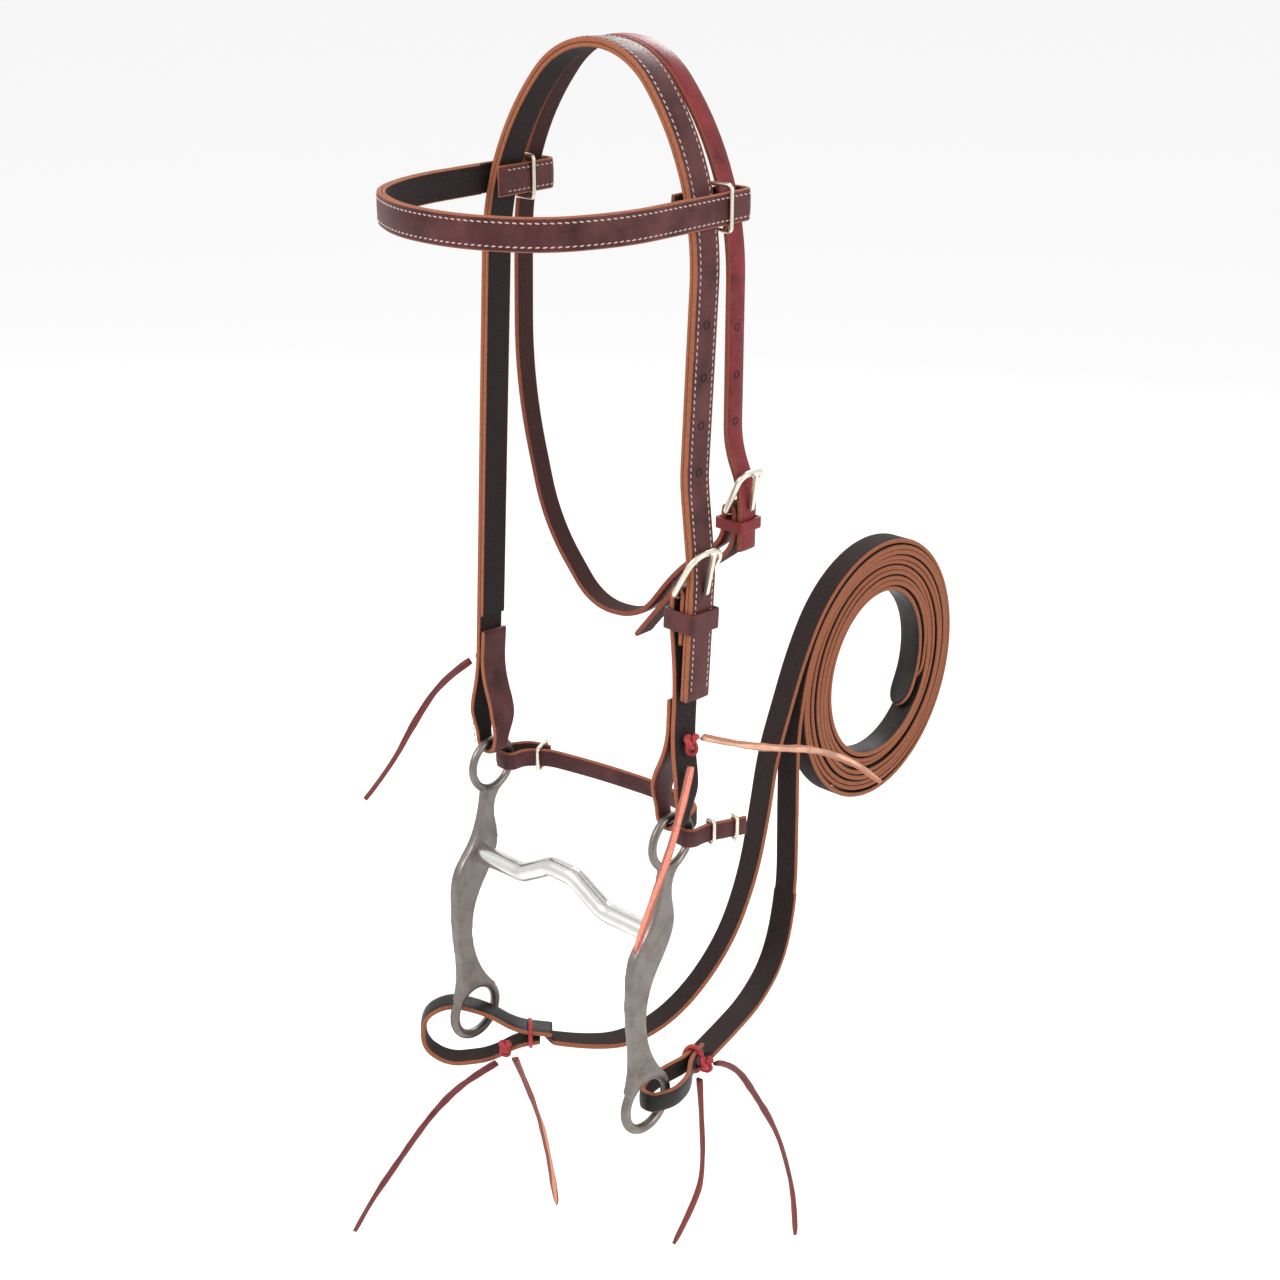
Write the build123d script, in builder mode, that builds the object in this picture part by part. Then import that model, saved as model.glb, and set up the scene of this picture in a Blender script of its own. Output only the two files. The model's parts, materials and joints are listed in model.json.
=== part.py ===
"""Western curb bridle: browband headstall, low-port curb bit, curb strap and a coil of split reins.

Millimetres. +Z is up, -Y is towards the horse's nose, +X is the horse's near (left) side.
The origin is the underside of the crown at the middle of the poll.
"""

import os
from math import atan, copysign, cos, radians, sin, sqrt, tan

from build123d import *

os.makedirs("parts", exist_ok=True)

# ---------------------------------------------------------------- driving dimensions
CHEEK_WIDTH = 18.0  # crown, cheek straps
CHEEK_OUTER = 2.8  # thickness of the crown's outer layer
CHEEK_LINING = 2.2  # thickness of its sewn lining
THROAT_WIDTH = 12.7
THROAT_THICK = 3.0
HALF_SPAN = 72.2  # seam between crown layers, from the middle plane
CROWN_SHOULDER = -55.0  # height of the corner between cheek line and crown arch
CROWN_TOP_HALF = 23.0  # half length of the arch's top tangent
CROWN_RADII = [138.0, 49.0, 49.0, 138.0]  # shoulder, top, top, shoulder

BROW_WIDTH = 16.0
BROW_OUTER = 2.2
BROW_LINING = 2.0
BROW_HEIGHT = -70.0  # middle of the browband

EYE_X = 69.5  # middle plane of each shank
EYE_Y, EYE_Z = -24.5, -403.0  # centre of the headstall eyes, the axis on which the bit swings
EYE_RADIUS, EYE_WIRE = 15.0, 2.5
RING_Y, RING_Z = -44.5, -560.0  # centre of the rein rings
RING_RADIUS, RING_WIRE = 16.5, 3.0
SHANK_THICK = 6.4
MOUTH_Y, MOUTH_Z = -37.0, -456.0
MOUTH_DIAMETER = 11.5
PORT_RISE, PORT_HALF, PORT_FOOT = 13.0, 9.0, 32.0

BAR_WIRE = 1.6  # radius of the buckle frames' wire
TONGUE_WIDTH, TONGUE_THICK = 2.4, 1.8
HOLE_WIDE, HOLE_TALL = 3.4, 6.4  # oval holes that the tongues pass through
CHEEK_HOLES = [-124.4, -150.2, -175.3, -197.6]  # adjustment holes, heights along the cheek
THROAT_HOLES = [-130.0, -153.5, -177.0]
PUNCH_RADIUS = 1.6
FOLD_THICK = 2.8  # near cheek piece
CURB_THICK, CURB_WIDTH = 2.5, 11.0
REIN_THICK, REIN_WIDTH = 3.0, 16.0
LOOP_WIDTH = 12.0  # the reins' ends are cut narrower where they pass through the rings
FAR_LOOP_WIDTH = 14.0
THONG = 4.0  # thickness of the leather thongs

COIL_X, COIL_Y, COIL_Z = 12.0, 232.0, -402.0
COIL_OUTER = (84.0, 90.0)  # half depth and half height
COIL_INNER = (48.0, 54.0)
COIL_SIDE = (COIL_X, 150.0)  # where both reins climb beside the coil, in plan

TILT = atan(EYE_Y / EYE_Z)  # the cheeks slope forward from the poll to the bit
CHEEK_PLANE = Plane(origin=(0, 0, 0), x_dir=(1, 0, 0), z_dir=(0, -cos(TILT), sin(TILT)))
CHEEK_SIDE = Plane(origin=(0, 0, 0), x_dir=(0, -cos(TILT), sin(TILT)), z_dir=(-1, 0, 0))
THROAT_Y = 15.9
THROAT_PLANE = Plane(origin=(0, THROAT_Y, 0), x_dir=(1, 0, 0), z_dir=(0, -1, 0))


# ---------------------------------------------------------------- shared shapes
def corner_radii(route):
    """Radius of the arc at each inner point of a route: 0.45 of its shorter run over tan(half the turn)."""
    points = [Vector(*p) for p in route]
    radii = []
    for before, here, after in zip(points, points[1:], points[2:]):
        run_in, run_out = here - before, after - here
        half_turn = radians(run_in.get_angle(run_out)) / 2
        radii.append(0.45 * min(run_in.length, run_out.length) / tan(half_turn))
    return radii


def parallel(route, radii, left):
    """The route and its corner radii, shifted sideways to the left of travel."""
    points = [Vector(*p) for p in route]
    headings = [(after - before).normalized() for before, after in zip(points, points[1:])]
    normals = [Vector(-h.Y, h.X) for h in headings]
    shifted = [points[0] + normals[0] * left]
    shifted_radii = []
    for point, radius, into, out in zip(points[1:], radii, normals, normals[1:]):
        shifted.append(point + (into + out) * (left / (1 + into.dot(out))))
        turn = copysign(1, into.cross(out).Z)
        shifted_radii.append(radius - turn * left)
    shifted.append(points[-1] + normals[-1] * left)
    return shifted, shifted_radii


def band(plane, route, left, right, radii=None):
    """Edge-on outline of a leather band along a route, with its thickness left and right of the route."""
    radii = radii or corner_radii(route)
    left_points, left_radii = parallel(route, radii, left)
    right_points, right_radii = parallel(route, radii, -right)
    with BuildSketch(plane) as outline:
        with BuildLine():
            one_face = FilletPolyline(*left_points, radius=left_radii)
            other_face = FilletPolyline(*right_points, radius=right_radii)
            Line(one_face @ 0, other_face @ 0)
            Line(one_face @ 1, other_face @ 1)
        make_face()
    return outline.sketch


def wire_frame(plane, width, height, wire, top_radius):
    """Closed frame of round wire; its lower bar lies on the plane's x axis, centred on its origin."""
    half = width / 2
    corners = [(-half, 0), (half, 0), (half, height), (-half, height)]
    with BuildPart() as frame:
        with BuildLine(plane) as path:
            FilletPolyline(*corners, radius=[2 * wire, 2 * wire, top_radius, top_radius], close=True)
        with BuildSketch(Plane(origin=path.line @ 0.5, z_dir=path.line % 0.5)):
            Circle(wire)
        sweep(path=path.line)
    return frame


def tongue(plane, bar, elbow, tip):
    """Buckle tongue: an eye round the bar at bar, an arm out to elbow and up to tip."""
    with BuildPart() as pin:
        with BuildSketch(plane):
            with Locations(bar):
                Circle(BAR_WIRE + 1.6)
        extrude(amount=TONGUE_WIDTH / 2, both=True)
        arm = band(plane, [bar, elbow, tip], TONGUE_THICK / 2, TONGUE_THICK / 2, [2.2])
        extrude(arm, amount=TONGUE_WIDTH / 2, both=True)
        with BuildSketch(plane):
            with Locations(bar):
                Circle(BAR_WIRE + 0.15)
        extrude(amount=TONGUE_WIDTH, both=True, mode=Mode.SUBTRACT)
    return pin


def thong_tail(route):
    """Round thong along straight runs joined by tangent arcs."""
    with BuildPart() as tail:
        with BuildLine() as path:
            FilletPolyline(*route, radius=corner_radii(route))
        with BuildSketch(Plane(origin=path.line @ 0, z_dir=path.line % 0)):
            Circle(THONG / 2)
        sweep(path=path.line)
    return tail


def knot(centre, size):
    """Lump of a tied thong that sits against a strap."""
    with BuildPart() as lump:
        with Locations(Location(centre)):
            Box(*size)
        fillet(lump.edges(), 0.3 * min(size))
    return lump


def store(piece, label):
    """Names a finished piece and writes it."""
    piece.part.label = label
    export_step(piece.part, f"parts/{label}.step")


# ---------------------------------------------------------------- crown and far cheek, one doubled strap
BAR_X, BAR_V = 72.5, -262.0  # heel bar of the cheek buckle, in the plane of the cheeks
BILLET_X = 80.0  # seam of the billet where it lies over the near cheek piece
BILLET_TIP, BILLET_BEND = -318.0, -250.0
FOLD_V = -393.2  # inner face of the fold under an eye's wire
near_billet = [(BILLET_X, BILLET_TIP), (BILLET_X, BILLET_BEND), (HALF_SPAN, -203.0)]
crown_arch = [
    (HALF_SPAN, CROWN_SHOULDER),
    (CROWN_TOP_HALF, CHEEK_LINING),
    (-CROWN_TOP_HALF, CHEEK_LINING),
    (-HALF_SPAN, CROWN_SHOULDER),
]
far_fold = [
    (-HALF_SPAN, -346.0),
    (-77.5, -371.0),
    (-74.0, FOLD_V),
    (-65.0, FOLD_V),
    (-61.5, -371.0),
    (-71.8, -346.0),
    (-71.0, -321.0),
]
outer_route = near_billet + crown_arch + far_fold
lining_route = near_billet + crown_arch + [(-HALF_SPAN, -312.0)]
billet_radii = [70.0, 90.0]
fold_radii = corner_radii(crown_arch[-1:] + far_fold)
TAPER_FROM, TAPER_TO, FOLD_WIDTH = -368.0, -386.0, 11.0
taper_outline = [
    (-CHEEK_WIDTH / 2, 20),
    (-CHEEK_WIDTH / 2, TAPER_FROM),
    (-FOLD_WIDTH / 2, TAPER_TO),
    (-FOLD_WIDTH / 2, -420),
    (FOLD_WIDTH / 2, -420),
    (FOLD_WIDTH / 2, TAPER_TO),
    (CHEEK_WIDTH / 2, TAPER_FROM),
    (CHEEK_WIDTH / 2, 20),
]

with BuildPart() as crown_strap:
    extrude(
        band(CHEEK_PLANE, outer_route, 0, CHEEK_OUTER, billet_radii + CROWN_RADII + fold_radii),
        amount=CHEEK_WIDTH / 2,
        both=True,
    )
    with BuildSketch(CHEEK_SIDE):
        Polygon(*taper_outline, align=None)
    extrude(amount=120, both=True, mode=Mode.INTERSECT)
    with BuildSketch(CHEEK_SIDE.offset(-BILLET_X)):
        with Locations((0, BAR_V + 0.2)):
            RectangleRounded(HOLE_WIDE, HOLE_TALL, 1.6)
        with Locations(*[(0, height) for height in CHEEK_HOLES]):
            Circle(PUNCH_RADIUS)
    extrude(amount=12, both=True, mode=Mode.SUBTRACT)
store(crown_strap, "crown_strap")

with BuildPart() as crown_lining:
    extrude(
        band(CHEEK_PLANE, lining_route, CHEEK_LINING, 0, billet_radii + CROWN_RADII),
        amount=CHEEK_WIDTH / 2,
        both=True,
    )
    with BuildSketch(CHEEK_SIDE.offset(-BILLET_X)):
        with Locations((0, BAR_V + 0.2)):
            RectangleRounded(HOLE_WIDE, HOLE_TALL, 1.6)
        with Locations(*[(0, height) for height in CHEEK_HOLES]):
            Circle(PUNCH_RADIUS)
    extrude(amount=12, both=True, mode=Mode.SUBTRACT)
store(crown_lining, "crown_lining")

# ---------------------------------------------------------------- near cheek piece
near_cheek_route = [
    (BAR_X + 3.4, -288.0),
    (BAR_X + 3.4, BAR_V + 3.4),
    (BAR_X - 3.4, BAR_V + 3.4),
    (BAR_X - 3.4, -277.0),
    (73.6, -308.0),
    (73.9, -346.0),
    (79.0, -371.0),
    (75.3, FOLD_V - 1.4),
    (63.7, FOLD_V - 1.4),
    (60.0, -371.0),
    (70.6, -346.0),
    (70.2, -320.0),
]
with BuildPart() as near_cheek_piece:
    strap = band(CHEEK_PLANE, near_cheek_route, FOLD_THICK / 2, FOLD_THICK / 2)
    extrude(strap, amount=CHEEK_WIDTH / 2, both=True)
    with BuildSketch(CHEEK_SIDE):
        Polygon(*taper_outline, align=None)
    extrude(amount=120, both=True, mode=Mode.INTERSECT)
    with BuildSketch(CHEEK_PLANE):
        with Locations((BAR_X + 1, BAR_V)):
            Rectangle(12, 11)
    extrude(amount=2.5, both=True, mode=Mode.SUBTRACT)
store(near_cheek_piece, "near_cheek_piece")

# ---------------------------------------------------------------- cheek buckle and keeper
BUCKLE_TOP = (85.0, -238.0)
bar_height = sqrt((BUCKLE_TOP[0] - BAR_X) ** 2 + (BUCKLE_TOP[1] - BAR_V) ** 2)
bar_origin = CHEEK_PLANE.from_local_coords(Vector(BAR_X, BAR_V, 0))
bar_rise = CHEEK_PLANE.from_local_coords(Vector(*BUCKLE_TOP, 0)) - bar_origin
cheek_buckle_plane = Plane(
    origin=bar_origin, x_dir=CHEEK_PLANE.z_dir, z_dir=CHEEK_PLANE.z_dir.cross(bar_rise.normalized())
)
cheek_buckle_frame = wire_frame(cheek_buckle_plane, 23.0, bar_height, BAR_WIRE, 9.0)
store(cheek_buckle_frame, "cheek_buckle_frame")

cheek_buckle_tongue = tongue(
    CHEEK_PLANE, (BAR_X, BAR_V), (BILLET_X + 4.4, BAR_V + 1.5), (BUCKLE_TOP[0] + 3.0, BUCKLE_TOP[1])
)
store(cheek_buckle_tongue, "cheek_buckle_tongue")

KEEPER_V, KEEPER_HEIGHT, KEEPER_THICK = -275.0, 11.0, 2.0
keeper_plane = Plane(
    origin=CHEEK_PLANE.from_local_coords(Vector(75.3, KEEPER_V, 0)),
    x_dir=(1, 0, 0),
    z_dir=(0, sin(TILT), cos(TILT)),
)
with BuildPart() as cheek_keeper:
    with BuildSketch(keeper_plane):
        RectangleRounded(20.4, CHEEK_WIDTH + 2 * KEEPER_THICK + 0.8, 2.5)
        RectangleRounded(20.4 - 2 * KEEPER_THICK, CHEEK_WIDTH + 0.8, 0.8, mode=Mode.SUBTRACT)
    extrude(amount=KEEPER_HEIGHT / 2, both=True)
store(cheek_keeper, "cheek_keeper")

# ---------------------------------------------------------------- throat strap, its buckle and keeper
THROAT_BAR = (76.6, -224.0)
throat_seam = HALF_SPAN + 1.3
throat_route = [
    (THROAT_BAR[0] + 7.1, -244.0),
    (THROAT_BAR[0] + 7.1, -212.0),
    (throat_seam, -190.0),
    (throat_seam, CROWN_SHOULDER),
    (CROWN_TOP_HALF + 0.5, 3.5),
    (-CROWN_TOP_HALF - 0.5, 3.5),
    (-throat_seam, CROWN_SHOULDER),
    (-77.0, -185.0),
    (-57.0, -262.0),
    (-22.0, -302.0),
    (14.0, -300.0),
    (42.0, -264.0),
    (THROAT_BAR[0] - 3.5, -240.0),
    (THROAT_BAR[0] - 3.5, THROAT_BAR[1] + 3.5),
    (THROAT_BAR[0] + 3.5, THROAT_BAR[1] + 3.5),
    (THROAT_BAR[0] + 3.5, -243.5),
    (45.0, -270.0),
    (12.0, -310.0),
]
throat_radii = corner_radii(throat_route)
throat_radii[2:6] = [138.0, 50.0, 50.0, 138.0]
with BuildPart() as throat_strap:
    strap = band(THROAT_PLANE, throat_route, THROAT_THICK / 2, THROAT_THICK / 2, throat_radii)
    extrude(strap, amount=THROAT_WIDTH / 2, both=True)
    with BuildSketch(THROAT_PLANE):
        with Locations((THROAT_BAR[0] + 0.6, THROAT_BAR[1])):
            Rectangle(12, 11)
        with Locations((THROAT_BAR[0] + 6, THROAT_BAR[1] + 0.5)):
            Rectangle(6, HOLE_TALL)
    extrude(amount=HOLE_WIDE / 2, both=True, mode=Mode.SUBTRACT)
    with BuildSketch(Plane(origin=(HALF_SPAN, THROAT_Y, 0), x_dir=(0, 1, 0), z_dir=(1, 0, 0))):
        with Locations(*[(0, height) for height in THROAT_HOLES]):
            Circle(PUNCH_RADIUS)
    extrude(amount=12, both=True, mode=Mode.SUBTRACT)
store(throat_strap, "throat_strap")

throat_top = (86.6, -202.5)
throat_bar_origin = THROAT_PLANE.from_local_coords(Vector(*THROAT_BAR, 0))
throat_rise = THROAT_PLANE.from_local_coords(Vector(*throat_top, 0)) - throat_bar_origin
throat_buckle_plane = Plane(
    origin=throat_bar_origin, x_dir=THROAT_PLANE.z_dir, z_dir=THROAT_PLANE.z_dir.cross(throat_rise.normalized())
)
throat_buckle_frame = wire_frame(throat_buckle_plane, 17.4, throat_rise.length, BAR_WIRE, 5.0)
store(throat_buckle_frame, "throat_buckle_frame")

throat_buckle_tongue = tongue(
    THROAT_PLANE, THROAT_BAR, (THROAT_BAR[0] + 10.2, THROAT_BAR[1] + 1.5), (throat_top[0] + 3.0, throat_top[1])
)
store(throat_buckle_tongue, "throat_buckle_tongue")

with BuildPart() as throat_keeper:
    with BuildSketch(Plane(origin=(THROAT_BAR[0] + 1.7, THROAT_Y, -230.5))):
        RectangleRounded(18.2, THROAT_WIDTH + 4.4, 2.0)
        RectangleRounded(14.6, THROAT_WIDTH + 0.8, 0.8, mode=Mode.SUBTRACT)
    extrude(amount=3.0, both=True)
store(throat_keeper, "throat_keeper")

# ---------------------------------------------------------------- browband, which slides on both straps
BROW_PLANE = Plane(origin=(0, 0, BROW_HEIGHT))
BROW_INSIDE, BROW_OUTSIDE, BROW_BACK, BROW_FRONT = 61.0, 73.8, 24.0, -15.6
brow_arc = [
    (BROW_OUTSIDE, -62.0),
    (58.0, -100.0),
    (20.0, -119.0),
    (-20.0, -119.0),
    (-58.0, -100.0),
    (-BROW_OUTSIDE, -62.0),
]
brow_route = (
    [(BROW_INSIDE, BROW_FRONT), (BROW_INSIDE, BROW_BACK), (BROW_OUTSIDE, BROW_BACK)]
    + brow_arc
    + [(-BROW_OUTSIDE, BROW_BACK), (-BROW_INSIDE, BROW_BACK), (-BROW_INSIDE, BROW_FRONT)]
)
with BuildPart() as browband:
    brow_radii = corner_radii(brow_route)
    brow_radii[:2] = brow_radii[-2:] = [3.0, 3.0]
    extrude(band(BROW_PLANE, brow_route, BROW_OUTER, 0, brow_radii), amount=BROW_WIDTH / 2, both=True)
store(browband, "browband")

lining_ends = [(BROW_OUTSIDE, BROW_FRONT - 1.0), (-BROW_OUTSIDE, BROW_FRONT - 1.0)]
with BuildPart() as browband_lining:
    extrude(
        band(BROW_PLANE, lining_ends[:1] + brow_arc + lining_ends[1:], 0, BROW_LINING),
        amount=BROW_WIDTH / 2,
        both=True,
    )
store(browband_lining, "browband_lining")

RING_BAR, RING_TALL = 1.1, 22.0
for side, label in ((1, "near_browband_ring"), (-1, "far_browband_ring")):
    middle = side * (BROW_INSIDE + BROW_OUTSIDE) / 2
    ring_plane = Plane(origin=(middle, 7.2, BROW_HEIGHT - RING_TALL / 2), x_dir=(1, 0, 0), z_dir=(0, -1, 0))
    brow_ring = wire_frame(ring_plane, BROW_OUTSIDE - BROW_INSIDE + 2 * BROW_OUTER + 2.8, RING_TALL, RING_BAR, 2.2)
    store(brow_ring, label)

# ---------------------------------------------------------------- bit
front_edge = [
    (-33, -416),
    (-36.6, -434),
    (-44, -449),
    (-55, -462),
    (-59, -482),
    (-58.8, -505),
    (-57, -525),
    (-60.5, -548),
]
back_edge = [
    (-29, -548),
    (-41, -530),
    (-46.5, -505),
    (-41, -482),
    (-29.5, -465),
    (-24, -450),
    (-26, -434),
    (-17, -416),
]
for side, label in ((1, "near_shank"), (-1, "far_shank")):
    shank_plane = Plane(origin=(side * EYE_X, 0, 0), x_dir=(0, 1, 0), z_dir=(1, 0, 0))
    with BuildPart() as shank:
        with BuildSketch(shank_plane):
            with BuildLine():
                front = Spline(*front_edge)
                back = Spline(*back_edge)
                Line(front @ 1, back @ 0)
                Line(back @ 1, front @ 0)
            make_face()
            with Locations((EYE_Y, EYE_Z)):
                Circle(EYE_RADIUS, mode=Mode.SUBTRACT)
            with Locations((RING_Y, RING_Z)):
                Circle(RING_RADIUS, mode=Mode.SUBTRACT)
        extrude(amount=SHANK_THICK / 2, both=True)
        with Locations(Plane(origin=(side * EYE_X, EYE_Y, EYE_Z), z_dir=(1, 0, 0))):
            Torus(EYE_RADIUS, EYE_WIRE)
        with Locations(Plane(origin=(side * EYE_X, RING_Y, RING_Z), z_dir=(1, 0, 0))):
            Torus(RING_RADIUS, RING_WIRE)
    store(shank, label)

mouth_end = EYE_X - SHANK_THICK / 2
mouth_route = [
    (-mouth_end, MOUTH_Y, MOUTH_Z),
    (-PORT_FOOT, MOUTH_Y, MOUTH_Z),
    (-PORT_HALF, MOUTH_Y, MOUTH_Z + PORT_RISE),
    (PORT_HALF, MOUTH_Y, MOUTH_Z + PORT_RISE),
    (PORT_FOOT, MOUTH_Y, MOUTH_Z),
    (mouth_end, MOUTH_Y, MOUTH_Z),
]
with BuildPart() as mouthpiece:
    with BuildLine() as mouth_path:
        FilletPolyline(*mouth_route, radius=15.0)
    with BuildSketch(Plane(origin=mouth_path.line @ 0, z_dir=mouth_path.line % 0)):
        Circle(MOUTH_DIAMETER / 2)
    sweep(path=mouth_path.line)
store(mouthpiece, "mouthpiece")

# ---------------------------------------------------------------- curb strap, turned round the back of both eyes
CURB_PLANE = Plane(origin=(0, 0, EYE_Z - 1.0))
CURB_LEG, CURB_FOLD = 6.25, EYE_Y + EYE_RADIUS - 6.25
curb_route = [
    (-55.0, 8.8),
    (-68.0, 6.0),
    (-EYE_X - CURB_LEG, -6.0),
    (-EYE_X - CURB_LEG, CURB_FOLD),
    (-EYE_X + CURB_LEG, CURB_FOLD),
    (-EYE_X + CURB_LEG, -5.0),
    (-52.0, 5.0),
    (-18.0, 12.0),
    (26.0, 17.0),
    (58.0, 11.0),
    (EYE_X - CURB_LEG, -5.0),
    (EYE_X - CURB_LEG, CURB_FOLD),
    (EYE_X + CURB_LEG, CURB_FOLD),
    (EYE_X + CURB_LEG, -4.0),
    (86.0, 18.0),
]
with BuildPart() as curb_strap:
    extrude(band(CURB_PLANE, curb_route, CURB_THICK / 2, CURB_THICK / 2), amount=CURB_WIDTH / 2, both=True)
store(curb_strap, "curb_strap")


def curb_loop(at, heading, thick):
    """Metal loop round the curb strap at a point, square to the strap's heading in degrees from +Y towards +X."""
    across = (cos(radians(heading)), -sin(radians(heading)), 0)
    back = (-sin(radians(heading)), -cos(radians(heading)), 0)
    low = EYE_Z - 1.0 - CURB_WIDTH / 2 - 1.5
    return wire_frame(Plane(origin=(*at, low), x_dir=across, z_dir=back), thick, CURB_WIDTH + 3.0, 1.1, 2.2)


store(curb_loop((-57.0, 4.4), 68, 14.8), "far_curb_buckle")
store(curb_loop((77.2, -0.6), 16, 6.0), "near_curb_buckle")
store(curb_loop((83.2, 12.0), 24, 6.0), "near_curb_keeper")

# ---------------------------------------------------------------- ends of the reins, looped through the rein rings
NEAR_DROP = radians(5)
near_wire = Vector(EYE_X, RING_Y + RING_RADIUS * cos(NEAR_DROP), RING_Z - RING_RADIUS * sin(NEAR_DROP))
to_coil = Vector(COIL_SIDE[0] - near_wire.X, COIL_SIDE[1] - near_wire.Y, 0).normalized()
near_along = Vector(to_coil.X * cos(NEAR_DROP), to_coil.Y * cos(NEAR_DROP), -sin(NEAR_DROP))
near_across = Vector(to_coil.Y, -to_coil.X, 0)
near_loop_plane = Plane(origin=near_wire, x_dir=near_across, z_dir=near_across.cross(near_along))
near_loop_route = [
    (1.7, 50.0),
    (1.9, 32.0),
    (8.5, 14.0),
    (7.5, -4.0),
    (-1.0, -16.0),
    (-9.5, -13.0),
    (-10.0, 4.0),
    (-7.5, 16.0),
    (-1.9, 32.0),
    (-1.7, 44.0),
]
with BuildPart() as near_rein_loop:
    strap = band(near_loop_plane, near_loop_route, REIN_THICK / 2, REIN_THICK / 2)
    extrude(strap, amount=LOOP_WIDTH / 2, both=True)
store(near_rein_loop, "near_rein_loop")

FAR_HEADING = sqrt(0.5)
far_loop_plane = Plane(
    origin=(-EYE_X, RING_Y, 0), x_dir=(-FAR_HEADING, -FAR_HEADING, 0), z_dir=(-FAR_HEADING, FAR_HEADING, 0)
)
far_loop_route = [
    (-46.0, -576.6),
    (-25.0, -573.5),
    (-7.0, -560.5),
    (15.0, -553.5),
    (31.0, -562.0),
    (32.0, -584.0),
    (17.0, -596.0),
    (-8.0, -593.5),
    (-25.0, -583.5),
    (-38.5, -581.4),
]
with BuildPart() as far_rein_loop:
    strap = band(far_loop_plane, far_loop_route, REIN_THICK / 2, REIN_THICK / 2)
    extrude(strap, amount=FAR_LOOP_WIDTH / 2, both=True)
store(far_rein_loop, "far_rein_loop")

# ---------------------------------------------------------------- free stretches of the reins
near_start = near_wire + near_along * 52.0
far_start = Vector(-EYE_X, RING_Y, 0) + Vector(FAR_HEADING, FAR_HEADING, 0) * 43.5


def rein_plane(start):
    """Upright plane from a rein's start in plan to the side of the coil; its x runs towards the coil."""
    heading = Vector(COIL_SIDE[0] - start.X, COIL_SIDE[1] - start.Y, 0).normalized()
    return Plane(origin=(start.X, start.Y, 0), x_dir=heading, z_dir=(heading.Y, -heading.X, 0))


near_rein_route = [
    (0.0, -569.0),
    (36.0, -574.5),
    (82.0, -579.5),
    (122.0, -570.0),
    (140.0, -532.0),
    (138.0, -488.0),
    (136.5, -452.0),
]
far_rein_route = [
    (0.0, -582.0),
    (24.0, -594.0),
    (58.0, -603.0),
    (94.0, -590.0),
    (126.0, -555.0),
    (143.0, -512.0),
    (151.0, -468.0),
    (156.0, -430.0),
]
with BuildPart() as near_rein:
    strap = band(rein_plane(near_start), near_rein_route, REIN_THICK / 2, REIN_THICK / 2)
    extrude(strap, amount=REIN_WIDTH / 2, both=True)
store(near_rein, "near_rein")

with BuildPart() as far_rein:
    strap = band(rein_plane(far_start), far_rein_route, REIN_THICK / 2, REIN_THICK / 2)
    extrude(strap, amount=REIN_WIDTH / 2, both=True)
store(far_rein, "far_rein")

with BuildPart() as rein_coil:
    with BuildSketch(Plane(origin=(COIL_X, COIL_Y, COIL_Z), x_dir=(0, 1, 0), z_dir=(1, 0, 0))):
        Ellipse(*COIL_OUTER)
        Ellipse(*COIL_INNER, mode=Mode.SUBTRACT)
    extrude(amount=REIN_WIDTH / 2, both=True)
store(rein_coil, "rein_coil")

# ---------------------------------------------------------------- thongs: knots and hanging tails
store(knot((-78.1, -21.0, -341.0), (4.2, 8.0, 12.0)), "far_cheek_knot")
store(knot((80.2, -21.0, -343.0), (4.6, 9.0, 14.0)), "near_cheek_knot")
store(knot((-48.8, -40.2, -581.0), (6.0, 6.0, 12.0)), "far_rein_knot")
store(knot((65.9, 11.6, -565.5), (6.0, 9.0, 10.0)), "near_rein_knot")

thong_routes = {
    "far_cheek_tail": [(-82, -27, -341), (-93, -39, -352), (-105, -51, -378), (-116, -62, -408), (-127, -73, -428)],
    "near_cheek_tail_down": [(83.4, -25, -354), (84, -32, -375), (84, -43, -399), (84, -55, -421), (84, -69, -447)],
    "near_cheek_tail_back": [
        (81.5, -13.5, -341.5),
        (84, 8, -352),
        (84, 42, -367),
        (84, 78, -380),
        (84, 112, -399),
        (84, 131, -413),
        (84, 147, -427),
    ],
    "far_rein_tail_front": [
        (-52, -45, -591),
        (-66, -50, -604),
        (-84, -55, -624),
        (-100, -63, -649),
        (-116, -77, -684),
        (-127, -88, -709),
        (-135, -96, -732),
    ],
    "far_rein_tail_back": [
        (-47, -34, -591),
        (-54, -22, -612),
        (-58, -10, -638),
        (-60, 1, -669),
        (-60, 7, -702),
        (-60, 12, -734),
    ],
    "near_rein_tail_front": [(65, 7, -574), (64, 11, -608), (62, 15, -642), (61, 11, -664), (60, -9, -686)],
    "near_rein_tail_back": [
        (68, 18, -567),
        (67, 36, -577),
        (64, 62, -616),
        (60, 88, -657),
        (58, 103, -693),
        (58, 112, -727),
        (58, 114, -755),
    ],
}
for label, route in thong_routes.items():
    store(thong_tail(route), label)
    print(label, "corner radii", [round(r, 1) for r in corner_radii(route)])

for label, route in (("near_rein", near_rein_route), ("far_rein", far_rein_route)):
    print(label, "corner radii", [round(r, 1) for r in corner_radii(route)])
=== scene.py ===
"""Looks of the western curb bridle: leather, stitching, thongs, reins, metal, floor, light and camera."""

import json
import math

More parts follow.
